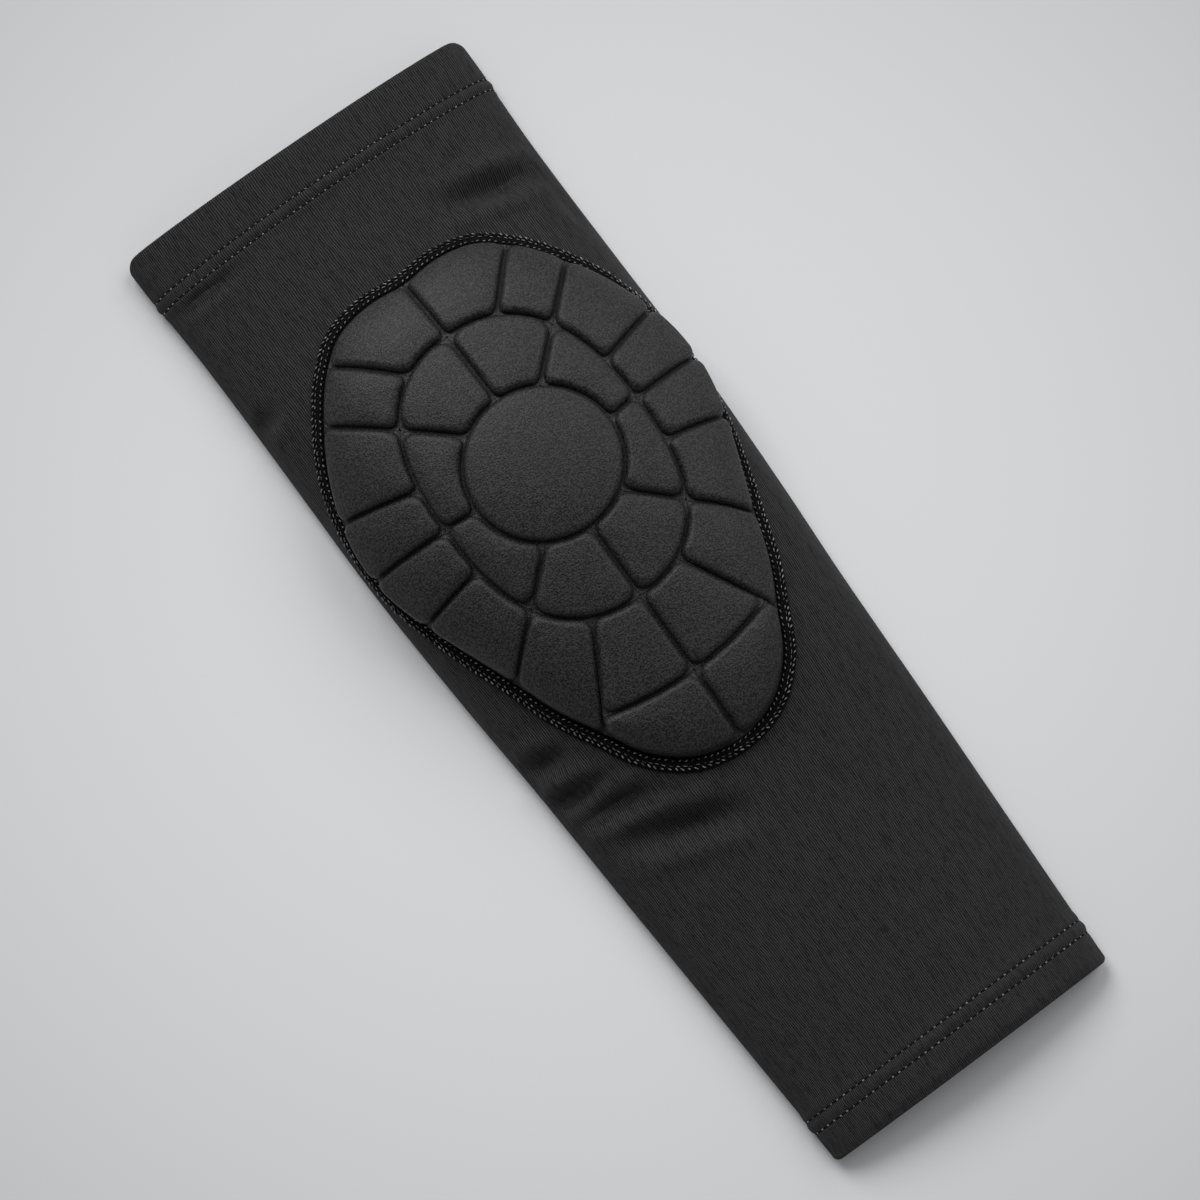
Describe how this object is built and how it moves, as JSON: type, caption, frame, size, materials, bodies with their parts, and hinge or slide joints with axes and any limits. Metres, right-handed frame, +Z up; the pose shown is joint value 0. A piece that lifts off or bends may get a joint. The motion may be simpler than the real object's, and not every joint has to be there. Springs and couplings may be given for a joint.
{
  "type": "knee pad",
  "caption": "Slip-on knee pad for riding: a stretch-knit tube, open at both ends, with a domed front pad of foam blocks round a disc over the kneecap, shown lying on its back.",
  "frame": {"origin": "on the floor under the middle of the tube's length and width", "axes": "+Y up the leg towards the thigh end, +Z up through the front of the pad, +X to the right of someone looking down at the pad with the thigh end away"},
  "size_m": [0.1456, 0.405, 0.0442],
  "materials": {
    "knit": "matte stretch knit with fine ribs along the leg",
    "foam": "matte fine-grained foam face",
    "backing": "matte thin cloth sheet",
    "thread": "overlock thread, slightly shiny"
  },
  "bodies": {
    "root": {"sleeve": "knit", "thigh_hem": "knit", "calf_hem": "knit", "pad_backing": "backing", "pad_seam": "thread", "pad_cap": "foam", "pad_inner_left_1": "foam", "pad_inner_left_2": "foam", "pad_inner_left_3": "foam", "pad_inner_left_4": "foam", "pad_inner_right_1": "foam", "pad_inner_right_2": "foam", "pad_inner_right_3": "foam", "pad_inner_right_4": "foam", "pad_outer_left_1": "foam", "pad_outer_left_2": "foam", "pad_outer_left_3": "foam", "pad_outer_left_4": "foam", "pad_outer_left_5": "foam", "pad_outer_left_6": "foam", "pad_outer_left_7": "foam", "pad_outer_left_8": "foam", "pad_outer_left_9": "foam", "pad_outer_right_1": "foam", "pad_outer_right_2": "foam", "pad_outer_right_3": "foam", "pad_outer_right_4": "foam", "pad_outer_right_5": "foam", "pad_outer_right_6": "foam", "pad_outer_right_7": "foam", "pad_outer_right_8": "foam", "pad_outer_right_9": "foam"}
  },
  "joints": []
}
